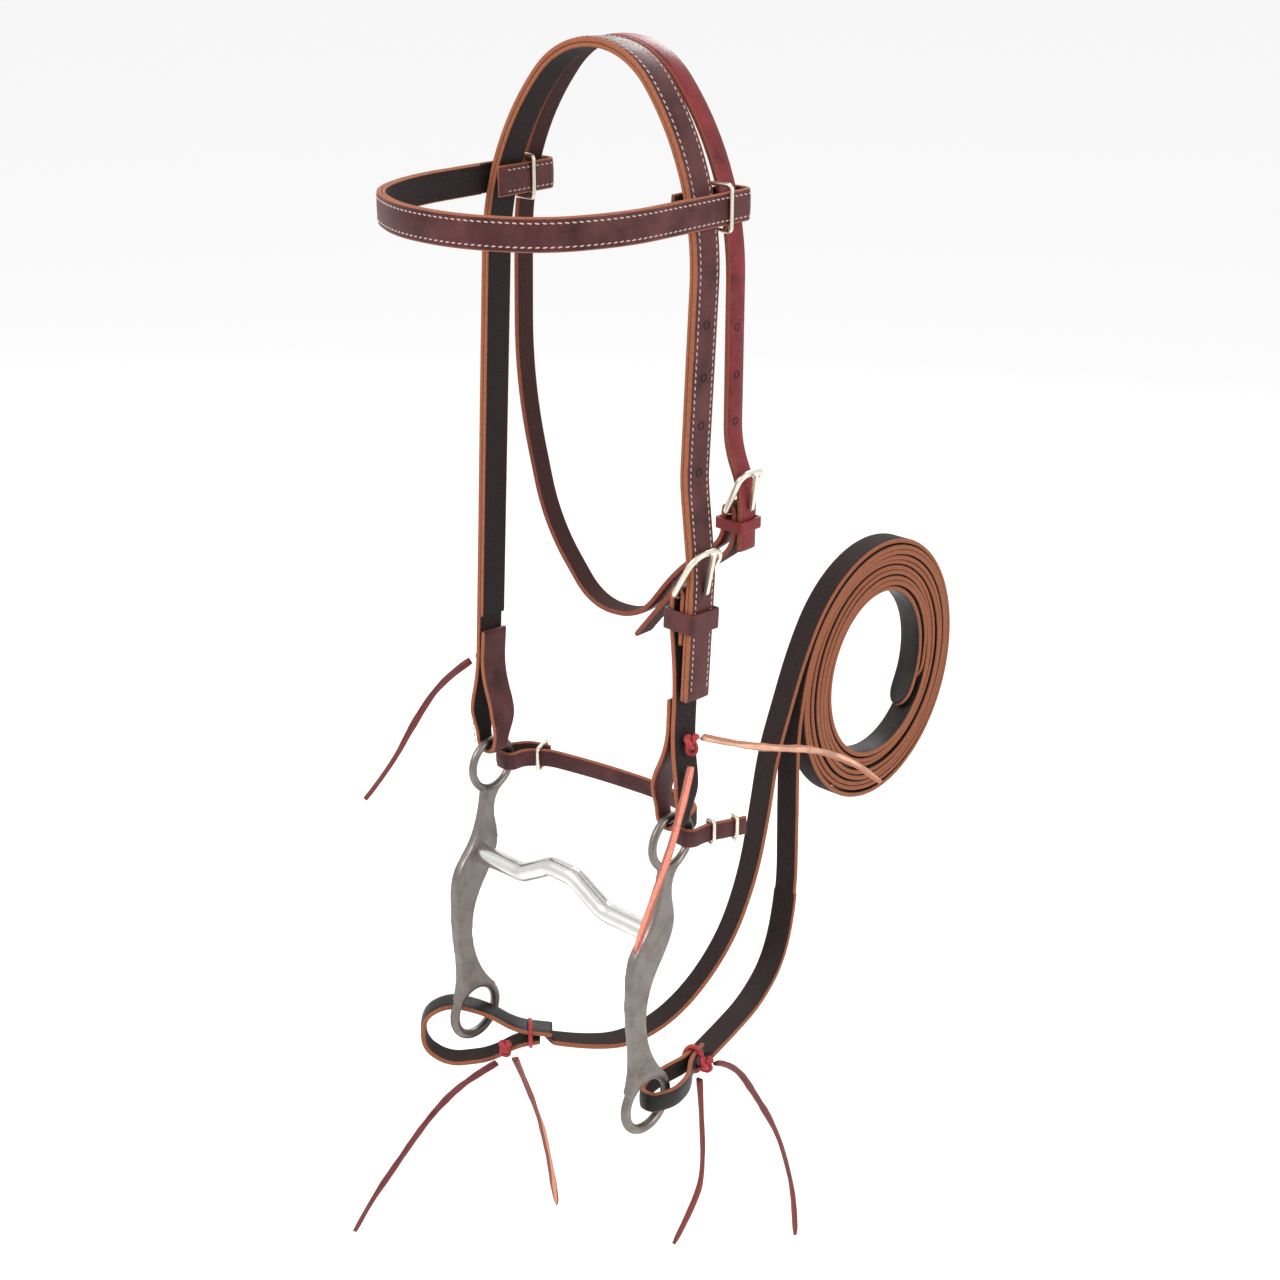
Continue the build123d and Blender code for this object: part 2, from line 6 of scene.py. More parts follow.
import bmesh
import bpy
import numpy as np
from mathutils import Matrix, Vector


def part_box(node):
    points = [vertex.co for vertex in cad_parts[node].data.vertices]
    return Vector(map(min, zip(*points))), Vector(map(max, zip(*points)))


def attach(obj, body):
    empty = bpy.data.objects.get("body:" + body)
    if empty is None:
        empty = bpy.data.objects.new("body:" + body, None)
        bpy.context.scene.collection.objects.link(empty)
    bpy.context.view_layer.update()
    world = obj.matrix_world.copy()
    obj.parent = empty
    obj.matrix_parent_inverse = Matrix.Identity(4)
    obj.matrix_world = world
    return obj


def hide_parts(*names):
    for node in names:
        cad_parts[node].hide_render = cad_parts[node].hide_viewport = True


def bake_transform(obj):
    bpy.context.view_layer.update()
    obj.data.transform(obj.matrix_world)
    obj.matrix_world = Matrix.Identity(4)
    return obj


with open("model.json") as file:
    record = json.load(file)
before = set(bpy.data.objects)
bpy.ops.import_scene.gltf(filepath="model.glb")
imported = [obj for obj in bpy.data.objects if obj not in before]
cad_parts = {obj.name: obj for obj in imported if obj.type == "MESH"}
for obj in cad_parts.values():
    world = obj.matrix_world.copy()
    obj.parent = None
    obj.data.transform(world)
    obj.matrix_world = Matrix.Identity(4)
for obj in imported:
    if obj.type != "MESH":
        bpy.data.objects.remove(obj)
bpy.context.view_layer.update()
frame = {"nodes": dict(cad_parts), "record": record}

NODES = frame["nodes"]
RECORD = frame["record"]
BODY_OF = {node: body for body, members in RECORD["behaviour"]["bodies"].items() for node in members}
X_AXIS, Y_AXIS, Z_AXIS = Vector((1, 0, 0)), Vector((0, 1, 0)), Vector((0, 0, 1))
MM = 0.001

# ---------------------------------------------------------------- camera
CAMERA_AT = Vector((0.6901, -0.7271, 0.1051))
CAMERA_AIM = Vector((0.0133, 0.0122, -0.3135))
camera = bpy.data.objects.new("camera", bpy.data.cameras.new("camera"))
bpy.context.scene.collection.objects.link(camera)
camera.location = CAMERA_AT
camera.rotation_euler = (CAMERA_AIM - CAMERA_AT).to_track_quat("-Z", "Y").to_euler()
camera.data.lens = 55.67
camera.data.sensor_width = 36.0
bpy.context.scene.camera = camera


# ---------------------------------------------------------------- materials
def new_material(name):
    """Empty node material with its shader; returns the material, its node tree and the shader."""
    made = bpy.data.materials.new(name)
    made.use_nodes = True
    return made, made.node_tree, made.node_tree.nodes["Principled BSDF"]


def add(tree, kind, **settings):
    """Adds a node; plain settings are attributes, and numbered ones set inputs."""
    node = tree.nodes.new(kind)
    for key, value in settings.items():
        if key.startswith("in_"):
            node.inputs[key[3:].replace("_", " ")].default_value = value
        else:
            setattr(node, key, value)
    return node


def noise(tree, where, scale, detail=4.0, rough=0.6):
    node = add(tree, "ShaderNodeTexNoise", in_Scale=scale, in_Detail=detail, in_Roughness=rough)
    tree.links.new(where, node.inputs["Vector"])
    return node.outputs["Fac"]


def ramp(tree, value, stops):
    """Colour ramp; stops are (position, grey or colour)."""
    node = add(tree, "ShaderNodeValToRGB")
    while len(node.color_ramp.elements) < len(stops):
        node.color_ramp.elements.new(0.5)
    for element, (position, colour) in zip(node.color_ramp.elements, stops):
        element.position = position
        element.color = (*colour, 1) if isinstance(colour, tuple) else (colour, colour, colour, 1)
    tree.links.new(value, node.inputs["Fac"])
    return node.outputs["Color"]


def mix(tree, factor, one, two, blend="MIX"):
    """Mixes two colours, each given as a socket or as a colour."""
    node = add(tree, "ShaderNodeMix", data_type="RGBA", blend_type=blend)
    for value, socket in ((factor, node.inputs[0]), (one, node.inputs[6]), (two, node.inputs[7])):
        if isinstance(value, bpy.types.NodeSocket):
            tree.links.new(value, socket)
        elif isinstance(value, tuple):
            socket.default_value = (*value, 1)
        else:
            socket.default_value = value
    return node.outputs[2]


def maths(tree, operation, *values):
    node = add(tree, "ShaderNodeMath", operation=operation)
    for value, socket in zip(values, node.inputs):
        if isinstance(value, bpy.types.NodeSocket):
            tree.links.new(value, socket)
        else:
            socket.default_value = value
    return node.outputs[0]


def bump(tree, shader, *layers):
    """Stacks bump layers, each (height socket, strength, depth in metres), on a shader."""
    before = None
    for height, strength, depth in layers:
        node = add(tree, "ShaderNodeBump", in_Strength=strength, in_Distance=depth)
        tree.links.new(height, node.inputs["Height"])
        if before is not None:
            tree.links.new(before, node.inputs["Normal"])
        before = node.outputs["Normal"]
    tree.links.new(before, shader.inputs["Normal"])


def leather(name, grain, flesh, edge, rough=0.42, sheen=0.0):
    """Strap leather: "face" is 1 on the grain side and 0 on the flesh side, "rim" is 1 at cut edges."""
    made, tree, shader = new_material(name)
    place = add(tree, "ShaderNodeTexCoord").outputs["Object"]
    face = add(tree, "ShaderNodeAttribute", attribute_name="face").outputs["Fac"]
    rim = add(tree, "ShaderNodeAttribute", attribute_name="rim").outputs["Fac"]
    cloud = noise(tree, place, 55.0, 5.0, 0.62)
    fine = noise(tree, place, 900.0, 3.0, 0.7)
    pores = add(tree, "ShaderNodeTexVoronoi", feature="DISTANCE_TO_EDGE", in_Scale=1300.0)
    tree.links.new(place, pores.inputs["Vector"])
    dark, light = tuple(c * 0.62 for c in grain), tuple(min(1.0, c * 1.5 + 0.012) for c in grain)
    grain_colour = mix(tree, ramp(tree, cloud, [(0.32, 0.0), (0.68, 1.0)]), dark, light)
    specks = ramp(tree, fine, [(0.55, 0.0), (0.8, 0.35)])
    grain_colour = mix(tree, specks, grain_colour, tuple(c * 0.4 for c in grain))
    nap = ramp(tree, fine, [(0.3, 0.0), (0.75, 1.0)])
    flesh_colour = mix(tree, nap, flesh, tuple(c * 1.9 + 0.01 for c in flesh))
    body = mix(tree, face, flesh_colour, grain_colour)
    worn = maths(tree, "ADD", rim, maths(tree, "MULTIPLY", maths(tree, "SUBTRACT", cloud, 0.5), 0.55))
    edge_colour = mix(tree, ramp(tree, fine, [(0.3, 0.0), (0.7, 1.0)]), tuple(c * 0.6 for c in edge), edge)
    colour = mix(tree, ramp(tree, worn, [(0.5, 0.0), (0.78, 1.0)]), body, edge_colour)
    tree.links.new(colour, shader.inputs["Base Color"])
    gloss = ramp(tree, cloud, [(0.3, rough - 0.08), (0.7, rough + 0.14)])
    tree.links.new(mix(tree, face, (0.85, 0.85, 0.85), gloss), shader.inputs["Roughness"])
    shader.inputs["Specular IOR Level"].default_value = 0.24
    shader.inputs["Sheen Weight"].default_value = sheen
    bump(tree, shader, (pores.outputs["Distance"], 0.16, 0.0004), (fine, 0.3, 0.00025), (cloud, 0.25, 0.0009))
    return made


def metal(name, colour, rough, scratch=0.2, stain=(0.2, 0.15, 0.1), stain_amount=0.3):
    made, tree, shader = new_material(name)
    place = add(tree, "ShaderNodeTexCoord").outputs["Object"]
    cloud = noise(tree, place, 70.0, 5.0, 0.65)
    stretch = add(tree, "ShaderNodeMapping")
    stretch.inputs["Scale"].default_value = (900.0, 900.0, 60.0)
    tree.links.new(place, stretch.inputs["Vector"])
    lines = add(tree, "ShaderNodeTexNoise", in_Scale=1.0, in_Detail=3.0)
    tree.links.new(stretch.outputs["Vector"], lines.inputs["Vector"])
    patch = maths(tree, "MULTIPLY", ramp(tree, cloud, [(0.46, 0.0), (0.72, 1.0)]), stain_amount)
    tree.links.new(mix(tree, patch, colour, stain), shader.inputs["Base Color"])
    uneven = maths(tree, "ADD", maths(tree, "MULTIPLY", cloud, 0.35), rough - 0.12)
    tree.links.new(uneven, shader.inputs["Roughness"])
    shader.inputs["Metallic"].default_value = 1.0
    bump(tree, shader, (lines.outputs["Fac"], scratch, 0.0001), (cloud, 0.12, 0.0006))
    return made


def thread(name, colour):
    made, tree, shader = new_material(name)
    place = add(tree, "ShaderNodeTexCoord").outputs["Object"]
    twist = noise(tree, place, 2600.0, 2.0, 0.5)
    soil = noise(tree, place, 90.0, 3.0, 0.6)
    tone = mix(tree, ramp(tree, soil, [(0.35, 0.0), (0.7, 1.0)]), colour, tuple(c * 0.7 for c in colour))
    tree.links.new(mix(tree, twist, tuple(c * 0.8 for c in colour), tone), shader.inputs["Base Color"])
    shader.inputs["Roughness"].default_value = 0.75
    bump(tree, shader, (twist, 0.5, 0.0003))
    return made


# The flesh-side colours of the burgundy, lining, red, rein and curb leathers are near black: painted shade on
# the straps' inner sides.
BURGUNDY = leather("burgundy_leather", (0.060, 0.011, 0.011), (0.010, 0.005, 0.005), (0.36, 0.115, 0.052))
LINING = leather("lining_leather", (0.018, 0.007, 0.006), (0.010, 0.005, 0.005), (0.36, 0.125, 0.058), 0.55)
RED = leather("red_leather", (0.135, 0.008, 0.010), (0.022, 0.006, 0.005), (0.25, 0.065, 0.035), 0.36)
REIN = leather("rein_leather", (0.008, 0.004, 0.004), (0.012, 0.006, 0.005), (0.31, 0.10, 0.045), 0.45)
CURB = leather("curb_leather", (0.050, 0.009, 0.010), (0.020, 0.007, 0.006), (0.32, 0.09, 0.045), 0.4)
THONG = leather("thong_leather", (0.120, 0.016, 0.017), (0.42, 0.19, 0.12), (0.30, 0.09, 0.06), 0.5)
THONG_DARK = leather(
    "dark_thong_leather", (0.105, 0.012, 0.014), (0.150, 0.030, 0.026), (0.20, 0.045, 0.035), 0.5
)
THONG_SALMON = leather(
    "salmon_thong_leather", (0.42, 0.105, 0.085), (0.50, 0.17, 0.12), (0.48, 0.15, 0.11), 0.6
)
THONG_TAN = leather("tan_thong_leather", (0.54, 0.31, 0.20), (0.56, 0.34, 0.23), (0.50, 0.20, 0.13), 0.65)
KNOT = leather("knot_leather", (0.34, 0.030, 0.034), (0.36, 0.09, 0.07), (0.42, 0.08, 0.07), 0.45)
NICKEL = metal("nickel_plate", (0.80, 0.75, 0.64), 0.24, 0.08, (0.42, 0.33, 0.2), 0.35)
SHANK = metal("browned_steel", (0.22, 0.195, 0.18), 0.34, 0.2, (0.10, 0.07, 0.05), 0.55)
BRIGHT = metal("polished_steel", (0.72, 0.71, 0.69), 0.16, 0.06, (0.30, 0.26, 0.22), 0.3)
STITCH = thread("pale_thread", (0.62, 0.46, 0.42))
# The punched holes are painted near black all over, walls included: painted shade inside the holes.
HOLE_SHADE = leather(
    "punched_hole_painted_shade", (0.010, 0.005, 0.005), (0.010, 0.005, 0.005), (0.014, 0.007, 0.006), 0.8
)


# ---------------------------------------------------------------- mesh helpers
def link_mesh(name, verts, faces, material, smooth=True):
    mesh = bpy.data.meshes.new(name)
    mesh.from_pydata([tuple(v) for v in verts], [], faces)
    mesh.materials.append(material)
    mesh.polygons.foreach_set("use_smooth", [smooth] * len(mesh.polygons))
    mesh.validate()
    piece = bpy.data.objects.new(name, mesh)
    bpy.context.scene.collection.objects.link(piece)
    return piece


def outline(node, axis):
    """The two long faces of a CAD band, as lists of points read along it at its middle plane."""
    grid = bmesh.new()
    grid.from_mesh(NODES[node].data)
    bmesh.ops.remove_doubles(grid, verts=grid.verts, dist=2e-6)
    side = {f for f in grid.faces if f.normal.dot(axis) > 0.9}
    spread = [v.co.dot(axis) for v in grid.verts]
    middle = (min(spread) + max(spread)) / 2
    rim = {}
    for edge in grid.edges:
        if sum(f in side for f in edge.link_faces) == 1:
            a, b = edge.verts
            rim.setdefault(a, []).append(b)
            rim.setdefault(b, []).append(a)
    loops, seen = [], set()
    for first in rim:
        if first in seen:
            continue
        loop, before, here = [first], None, first
        while True:
            seen.add(here)
            following = [v for v in rim[here] if v is not before]
            if not following or following[0] is first:
                break
            before, here = here, following[0]
            loop.append(here)
        loops.append(loop)
    loop = max(loops, key=len)
    points = [v.co - axis * (v.co.dot(axis) - middle) for v in loop]
    grid.free()
    return points


def turning(points, index):
    before, here, after = points[index - 1], points[index], points[(index + 1) % len(points)]
    if (here - before).length < 1e-7 or (after - here).length < 1e-7:
        return 0.0
    return (here - before).angle(after - here)


def long_faces(points, thickness):
    """Splits a closed band outline at its two ends."""
    count = len(points)
    ends = []
    for i in range(count):
        span = (points[(i + 1) % count] - points[i]).length
        square = turning(points, i) > 1.2 and turning(points, (i + 1) % count) > 1.2
        if square and abs(span - thickness) < 0.25 * thickness:
            ends.append(i)
    i, j = ends[0], ends[-1]
    one = [points[k % count] for k in range(i + 1, j + 1)]
    other = [points[k % count] for k in range(j + 1, i + 1 + count)]
    return one, list(reversed(other))


def resample(points, step):
    """Evenly spaced points along a line of points, both ends kept."""
    lengths = [0.0]
    for a, b in zip(points, points[1:]):
        lengths.append(lengths[-1] + (b - a).length)
    count = max(2, int(round(lengths[-1] / step)) + 1)
    made, k = [], 0
    for n in range(count):
        s = lengths[-1] * n / (count - 1)
        while k < len(points) - 2 and lengths[k + 1] < s:
            k += 1
        share = (s - lengths[k]) / max(1e-9, lengths[k + 1] - lengths[k])
        made.append(points[k].lerp(points[k + 1], min(1.0, max(0.0, share))))
    return made


def tangents(points):
    last = len(points) - 1
    return [(points[min(i + 1, last)] - points[max(i - 1, 0)]).normalized() for i in range(last + 1)]


def rounded(width, thick, crown, groove):
    """A strap's cross-section as (across, out, face, rim), crowned and creased on its grain side."""
    half, deep = width / 2, thick / 2
    corner = min(0.42 * thick, 0.0011)
    section = []
    inset = min(0.0016, 0.16 * width)
    for share in np.linspace(-1, 1, 17):
        across = share * (half - corner)
        out = deep + crown * (1 - share * share)
        if abs(abs(across) - (half - inset)) < 0.0005:
            out -= groove
        section.append((across, out, 1.0, 0.0 if abs(across) < half - 2 * corner else 0.35))
    for k in range(1, 6):
        turn = math.pi * k / 6
        section.append((half - corner + corner * math.sin(turn), deep * math.cos(turn), 0.6, 1.0))
    for share in np.linspace(1, -1, 9):
        section.append((share * (half - corner), -deep, 0.0, 0.0 if abs(share) < 0.9 else 0.35))
    for k in range(1, 6):
        turn = math.pi + math.pi * k / 6
        section.append((-half + corner + corner * math.sin(turn), deep * math.cos(turn), 0.6, 1.0))
    return section


def sweep(name, line, outs, acrosses, widths, thick, material, crown=0.0, groove=0.0, pointed=0.0):
    """Strap mesh along a line, with its outward and across directions at each point."""
    verts, faces, face_values, rim_values = [], [], [], []
    span = sum((b - a).length for a, b in zip(line, line[1:]))
    run = 0.0
    for i, point in enumerate(line):
        run += (point - line[i - 1]).length if i else 0.0
        width = widths[i]
        from_end = min(run, span - run)
        if from_end < 0.35 * thick:
            shrink = 0.8 + 0.2 * from_end / (0.35 * thick)
        else:
            shrink = 1.0
        if pointed and span - run < pointed:
            width *= max(0.12, math.sqrt(max(0.0, 1 - (1 - (span - run) / pointed) ** 2)))
        section = rounded(width, thick * shrink, crown, groove)
        for across, out, face, rim in section:
            verts.append(point + acrosses[i] * across + outs[i] * out)
            face_values.append(face)
            rim_values.append(rim)
    count = len(section)
    for i in range(len(line) - 1):
        for k in range(count):
            n = (k + 1) % count
            faces.append((i * count + k, i * count + n, (i + 1) * count + n, (i + 1) * count + k))
    faces.append(tuple(range(count - 1, -1, -1)))
    faces.append(tuple((len(line) - 1) * count + k for k in range(count)))
    piece = link_mesh(name, verts, faces, material)
    for key, values in (("face", face_values), ("rim", rim_values)):
        attribute = piece.data.attributes.new(key, "FLOAT", "POINT")
        attribute.data.foreach_set("value", values)
    normals = bmesh.new()
    normals.from_mesh(piece.data)
    bmesh.ops.recalc_face_normals(normals, faces=normals.faces)
    normals.to_mesh(piece.data)
    normals.free()
    return piece


def finish_piece(piece, node, *more):
    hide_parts(node, *more)
    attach(piece, BODY_OF[node])
    return piece


STRAP_STEP = 0.002  # spacing of a strap's cross-sections


def strap(node, axis, width, thick, material, width_at=None, **looks):
    """Replaces a CAD band by a strap with worn edges; returns its outer face's line and directions."""
    one, other = sorted(long_faces(outline(node, axis), thick), key=path_length, reverse=True)
    outer = resample(one, STRAP_STEP)
    along = tangents(outer)
    probe = other[len(other) // 2]
    nearest = min(range(len(outer)), key=lambda i: (outer[i] - probe).length)
    sign = 1 if (outer[nearest] - probe).dot(axis.cross(along[nearest])) > 0 else -1
    outs = [axis.cross(t).normalized() * sign for t in along]
    line = [p - out * thick / 2 for p, out in zip(outer, outs)]
    widths = [width if width_at is None else width_at(p) for p in line]
    piece = sweep(f"{node}_leather", line, outs, [axis] * len(line), widths, thick, material, **looks)
    finish_piece(piece, node)
    return outer, outs


STITCH_PITCH, STITCH_LENGTH, STITCH_RADIUS = 0.0034, 0.0024, 0.00033
SEAM_MARGIN = 0.006  # where stitching starts and stops, from a strap's ends
STITCH_RINGS = (  # share of the stitch's length, share of its radius, lift
    (-0.5, 0.35, -0.25),
    (-0.3, 1.0, 0.1),
    (0.0, 1.15, 0.3),
    (0.3, 1.0, 0.1),
    (0.5, 0.35, -0.25),
)


def stitches(name, points, outs, axis, offsets, body, end=SEAM_MARGIN):
    """Rows of small thread stitches along a strap's face, each sunk a little at its ends."""
    verts, faces = [], []
    spaced = resample(points, STITCH_PITCH)
    along = tangents(spaced)
    total = STITCH_PITCH * (len(spaced) - 1)
    for n, (point, heading) in enumerate(zip(spaced, along)):
        if n * STITCH_PITCH < SEAM_MARGIN or total - n * STITCH_PITCH < end:
            continue
        nearest = min(range(len(points)), key=lambda i: (points[i] - point).length_squared)
        out = outs[nearest]
        for offset in offsets:
            lean = 0.16 * (1 if offset > 0 else -1)
            direction = (heading + axis * lean).normalized()
            centre = point + axis * offset + out * 0.00005
            base = len(verts)
            for step, size, lift in STITCH_RINGS:
                side = direction.cross(out).normalized()
                for k in range(6):
                    turn = 2 * math.pi * k / 6
                    verts.append(
                        centre
                        + direction * (step * STITCH_LENGTH)
                        + (side * math.cos(turn) + out * math.sin(turn)) * (STITCH_RADIUS * size)
                        + out * (0.0004 * lift)
                    )
            for ring in range(4):
                for k in range(6):
                    n_k = (k + 1) % 6
                    here = base + ring * 6
                    faces.append((here + k, here + n_k, here + 6 + n_k, here + 6 + k))
            faces.append(tuple(base + k for k in range(5, -1, -1)))
            faces.append(tuple(base + 24 + k for k in range(6)))
    piece = link_mesh(name, verts, faces, STITCH)
    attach(piece, body)
    return piece


# ---------------------------------------------------------------- cords: the routes, then their smooth lines
COIL_X, COIL_Y, COIL_Z = 12.0, 232.0, -402.0
COIL_OUTER = (84.0, 90.0)  # half depth and half height
COIL_SIDE = (COIL_X, 150.0)


def smooth_line(name, points):
    """Points along one NURBS spline through space whose control points are given in millimetres."""
    data = bpy.data.curves.new(name, "CURVE")
    data.dimensions = "3D"
    spline = data.splines.new("NURBS")
    spline.points.add(len(points) - 1)
    for target, point in zip(spline.points, points):
        target.co = (*(Vector(point) * MM), 1.0)
    spline.order_u = 3
    spline.use_endpoint_u = True
    data.resolution_u = 12
    holder = bpy.data.objects.new(name, data)
    bpy.context.scene.collection.objects.link(holder)
    bpy.context.view_layer.update()
    mesh = bpy.data.meshes.new_from_object(holder.evaluated_get(bpy.context.evaluated_depsgraph_get()))
    line = [v.co.copy() for v in mesh.vertices]
    bpy.data.objects.remove(holder)
    bpy.data.meshes.remove(mesh)
    return line


def path_length(line):
    return sum((b - a).length for a, b in zip(line, line[1:]))


def carried(line, first_out):
    """Outward directions carried along a line without twist, and the across directions."""
    along = tangents(line)
    out = (first_out - along[0] * first_out.dot(along[0])).normalized()
    outs = [out]
    for heading in along[1:]:
        out = (out - heading * out.dot(heading)).normalized()
        outs.append(out)
    return outs, [heading.cross(o).normalized() for heading, o in zip(along, outs)]


THONG_WIDE, THONG_THICK = 0.0042, 0.0026
tail_routes = {
    "far_cheek_tail": [
        (-82, -27, -341),
        (-93, -39, -352),
        (-105, -51, -378),
        (-116, -62, -408),
        (-127, -73, -428),
    ],
    "near_cheek_tail_down": [
        (83.4, -25, -354),
        (84, -32, -375),
        (84, -43, -399),
        (84, -55, -421),
        (84, -69, -447),
    ],
    "near_cheek_tail_back": [
        (81.5, -13.5, -341.5),
        (84, 8, -352),
        (84, 42, -367),
        (84, 78, -380),
        (84, 112, -399),
        (84, 131, -413),
        (84, 147, -427),
    ],
    "far_rein_tail_front": [
        (-52, -45, -591),
        (-66, -50, -604),
        (-84, -55, -624),
        (-100, -63, -649),
        (-116, -77, -684),
        (-127, -88, -709),
        (-135, -96, -732),
    ],
    "far_rein_tail_back": [
        (-47, -34, -591),
        (-54, -22, -612),
        (-58, -10, -638),
        (-60, 1, -669),
        (-60, 7, -702),
        (-60, 12, -734),
    ],
    "near_rein_tail_front": [(65, 7, -574), (64, 11, -608), (62, 15, -642), (61, 11, -664), (60, -9, -686)],
    "near_rein_tail_back": [
        (68, 18, -567),
        (67, 36, -577),
        (64, 62, -616),
        (60, 88, -657),
        (58, 103, -693),
        (58, 112, -727),
        (58, 114, -755),
    ],
}
TAIL_LOOK = {  # leather, turn at the knot and turns along the tail
    "far_cheek_tail": (THONG_DARK, 0.6, 0.4),
    "near_cheek_tail_down": (THONG_SALMON, 2.6, 0.5),
    "near_cheek_tail_back": (THONG_TAN, 0.3, -0.5),
    "far_rein_tail_front": (THONG_DARK, 0.3, 0.4),
    "far_rein_tail_back": (THONG, 0.2, 1.0),
    "near_rein_tail_front": (THONG_DARK, 0.8, 0.7),
    "near_rein_tail_back": (THONG_DARK, 0.4, -0.7),
}
for label, route in tail_routes.items():
    line = resample(smooth_line(label, route), 0.0012)
    outs, acrosses = carried(line, X_AXIS * 0.8 - Y_AXIS * 0.6)
    hide, first, turns = TAIL_LOOK[label]
    for i in range(len(line)):
        angle = first + turns * math.pi * i / len(line) + 0.25 * math.sin(i * 0.11)
        o, a = outs[i], acrosses[i]
        outs[i] = o * math.cos(angle) + a * math.sin(angle)
        acrosses[i] = a * math.cos(angle) - o * math.sin(angle)
    widths = [
        THONG_WIDE * (1 + 0.07 * math.sin(i * 0.19) + 0.04 * math.sin(i * 0.47)) for i in range(len(line))
    ]
    tail = sweep(
        f"{label}_thong", line, outs, acrosses, widths, THONG_THICK, hide, crown=0.0002, pointed=0.012
    )
    finish_piece(tail, label)

# ---------------------------------------------------------------- reins with their coil
REIN_WIDE, REIN_THICK = 0.016, 0.0032
LAYER = 3.35  # pitch of the reins' layers where they are packed, at the top of the coil
SWELL = 1.018  # the control points lie outside the turns that they shape
GAPS = (0.1, 1.0, 0.1, 0.7, 0.0, 1.1, 0.2, 0.8, 0.1, 0.3)  # how much each layer fans out at the bottom
COIL_STEP = 22.5  # degrees between the coil's control points
NEAR_TURNS, FAR_TURNS = 4.625, 4.5  # both reins end low on the inside of the coil


def rein_points(start, route):
    """The free stretch's route in its upright plane, as points in space."""
    heading = (Vector(COIL_SIDE) - Vector(start)).normalized()
    return [Vector((start[0] + heading.x * u, start[1] + heading.y * u, z)) for u, z in route]


def coil_points(layer, first, turns, drift):
    """Control points of one rein's turns: it starts in a layer and moves in by two layers a turn."""
    made = []
    for n in range(int(round(turns * 360 / COIL_STEP)) + 1):
        angle = math.radians(first + n * COIL_STEP)
        depth = layer + 2 * n * COIL_STEP / 360
        whole = int(depth)
        fan = sum(GAPS[:whole]) + GAPS[min(whole, len(GAPS) - 1)] * (depth - whole)
        loose = 0.5 - 0.5 * math.sin(angle)
        inward = 1.7 + LAYER * depth + fan * loose
        sway = drift * math.sin(angle * 0.61 + layer) + 0.5 * math.sin(angle * 1.7)
        made.append(
            Vector(
                (
                    COIL_X + sway,
                    COIL_Y - (COIL_OUTER[0] - inward) * SWELL * math.cos(angle),
                    COIL_Z + (COIL_OUTER[1] - inward) * SWELL * math.sin(angle),
                )
            )
        )
    return made


NEAR_START, FAR_START = (53.58, 21.23), (-38.74, -13.74)
near_points = rein_points(
    NEAR_START,
    [(0, -569), (36, -574.5), (82, -579.5), (122, -570), (140, -532), (138, -488), (136.5, -452)],
)
near_points += [Vector((12, 150, -425))] + coil_points(1.0, 0.0, NEAR_TURNS, 0.9)
far_points = rein_points(
    FAR_START,
    [(0, -582), (24, -594), (58, -603), (94, -590), (126, -555), (143, -512), (151, -468), (156, -430)],
)
far_points += [Vector((10.5, 144, -398))] + coil_points(0.0, COIL_STEP, FAR_TURNS, -0.8)

for label, points, start in (("near_rein", near_points, NEAR_START), ("far_rein", far_points, FAR_START)):
    line = resample(smooth_line(label, points), 0.002)
    heading = (Vector(COIL_SIDE) - Vector(start)).normalized()
    flat = Vector((heading.y, -heading.x, 0))
    outs, acrosses = [], []
    for point, along in zip(line, tangents(line)):
        share = min(1.0, max(0.0, (point.z / MM + 575) / 110)) if point.y < (COIL_Y - 80) * MM else 1.0
        across = flat.lerp(X_AXIS, share)
        across = (across - along * across.dot(along)).normalized()
        acrosses.append(across)
        outs.append(along.cross(across).normalized())
    widths = [REIN_WIDE * (1 + 0.012 * math.sin(i * 0.07)) for i in range(len(line))]
    rein = sweep(
        f"{label}_strap", line, outs, acrosses, widths, REIN_THICK, REIN,
        crown=0.0003, groove=0.00018, pointed=0.014,
    )
    if label == "near_rein":
        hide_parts(label, "rein_coil")
    else:
        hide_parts(label)
    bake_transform(rein)

# ---------------------------------------------------------------- straps
TILT = math.atan(24.5 / 403)
CHEEK_AXIS = Vector((0, -math.cos(TILT), math.sin(TILT)))
TAPER_TOP, TAPER_END, FOLD_WIDE, CHEEK_WIDE = -0.368, -0.386, 0.011, 0.018


def cheek_width(point):
    share = (TAPER_TOP - point.z) / (TAPER_TOP - TAPER_END)
    share = min(1.0, max(0.0, share))
    return CHEEK_WIDE + (FOLD_WIDE - CHEEK_WIDE) * share * share * (3 - 2 * share)


crown_face, crown_outs = strap(
    "crown_strap", CHEEK_AXIS, CHEEK_WIDE, 0.0028, BURGUNDY,
    width_at=cheek_width, crown=0.0003, groove=0.00012,
)
strap("crown_lining", CHEEK_AXIS, CHEEK_WIDE - 0.0004, 0.0022, LINING, crown=0.0001)
strap(
    "near_cheek_piece", CHEEK_AXIS, CHEEK_WIDE, 0.0028, BURGUNDY,
    width_at=cheek_width, crown=0.0003, groove=0.0002,
)
throat_face, throat_outs = strap("throat_strap", Y_AXIS, 0.0127, 0.003, RED, crown=0.0003, groove=0.00022)
brow_face, brow_outs = strap("browband", Z_AXIS, 0.016, 0.0022, BURGUNDY, crown=0.0003, groove=0.00012)
strap("browband_lining", Z_AXIS, 0.0156, 0.002, LINING, crown=0.0001)
strap("curb_strap", Z_AXIS, 0.011, 0.0025, CURB, crown=0.0003, groove=0.0002)

